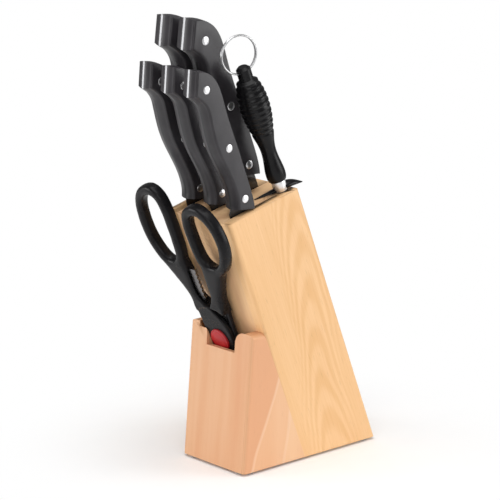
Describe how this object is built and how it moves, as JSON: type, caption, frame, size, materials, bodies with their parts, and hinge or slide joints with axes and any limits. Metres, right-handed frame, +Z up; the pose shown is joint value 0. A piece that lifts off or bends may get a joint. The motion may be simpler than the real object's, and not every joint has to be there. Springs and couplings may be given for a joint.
{
  "type": "knife block with knives",
  "caption": "Leaning wooden knife block with a scissors wedge in front; it holds full-tang riveted knives, a sharpening steel and kitchen scissors that all pull out",
  "frame": {"origin": "middle of the base's footprint, on the plane under the four rubber feet", "axes": "+Z up; the front wedge and the scissors face -Y; the right cheek, beside the sharpening steel, faces +X"},
  "size_m": [0.1003, 0.195, 0.3679],
  "materials": {
    "wood_cheek": "satin",
    "wood_core": "satin",
    "wood_wedge": "satin",
    "wood_dowel": "matte",
    "foot_rubber": "matte",
    "blade_steel": "satin",
    "black_plastic": "satin",
    "rivet_metal": "gloss",
    "rod_steel": "satin",
    "ring_chrome": "gloss",
    "red_plastic": "gloss"
  },
  "bodies": {
    "block": {"left_cheek": "wood_cheek", "core_left": "wood_core", "core_right": "wood_core", "right_cheek": "wood_cheek", "front_wedge": "wood_wedge", "dowels": "wood_dowel", "rubber_feet": "foot_rubber"},
    "paring_knife": {"paring_blade": "blade_steel", "paring_scale_left": "black_plastic", "paring_scale_right": "black_plastic", "paring_rivets": "rivet_metal"},
    "boning_knife": {"boning_blade": "blade_steel", "boning_scale_left": "black_plastic", "boning_scale_right": "black_plastic", "boning_rivets": "rivet_metal"},
    "utility_knife": {"utility_blade": "blade_steel", "utility_scale_left": "black_plastic", "utility_scale_right": "black_plastic", "utility_rivets": "rivet_metal"},
    "bread_knife": {"bread_blade": "blade_steel", "bread_scale_left": "black_plastic", "bread_scale_right": "black_plastic", "bread_rivets": "rivet_metal"},
    "carving_knife": {"carving_blade": "blade_steel", "carving_scale_left": "black_plastic", "carving_scale_right": "black_plastic", "carving_rivets": "rivet_metal"},
    "sharpening_steel": {"steel_rod": "rod_steel", "steel_guard": "black_plastic", "steel_ferrule": "rivet_metal", "steel_handle": "black_plastic"},
    "steel_ring": {"hanging_ring": "ring_chrome"},
    "shear_right_half": {"shear_blade_right": "blade_steel", "shear_handle_right": "black_plastic", "pivot_pin": "rivet_metal", "pivot_cap": "red_plastic"},
    "shear_left_half": {"shear_blade_left": "blade_steel", "shear_handle_left": "black_plastic"}
  },
  "joints": [
    {"name": "paring_slide", "type": "slide", "parent": "block", "child": "paring_knife", "axis": [0, -0.3665, 0.9304], "range_m": [0, 0.115]},
    {"name": "boning_slide", "type": "slide", "parent": "block", "child": "boning_knife", "axis": [0, -0.3665, 0.9304], "range_m": [0, 0.16]},
    {"name": "utility_slide", "type": "slide", "parent": "block", "child": "utility_knife", "axis": [0, -0.3665, 0.9304], "range_m": [0, 0.15]},
    {"name": "bread_slide", "type": "slide", "parent": "block", "child": "bread_knife", "axis": [0, -0.3665, 0.9304], "range_m": [0, 0.215]},
    {"name": "carving_slide", "type": "slide", "parent": "block", "child": "carving_knife", "axis": [0, -0.3665, 0.9304], "range_m": [0, 0.215]},
    {"name": "steel_slide", "type": "slide", "parent": "block", "child": "sharpening_steel", "axis": [0, -0.3665, 0.9304], "range_m": [0, 0.2]},
    {"name": "shear_slide", "type": "slide", "parent": "block", "child": "shear_right_half", "axis": [0, -0.3665, 0.9304], "range_m": [0, 0.115]},
    {"name": "shear_pivot", "type": "hinge", "parent": "shear_right_half", "child": "shear_left_half", "pos_m": [-0.0051, -0.05685, 0.10469], "axis": [0, 0.9304, 0.3665], "range_deg": [-15, 0]},
    {"name": "ring_hinge", "type": "hinge", "parent": "sharpening_steel", "child": "steel_ring", "pos_m": [0.026, -0.06293, 0.32476], "axis": [0.2079, 0.9101, 0.3585], "range_deg": [-25, 140]}
  ]
}
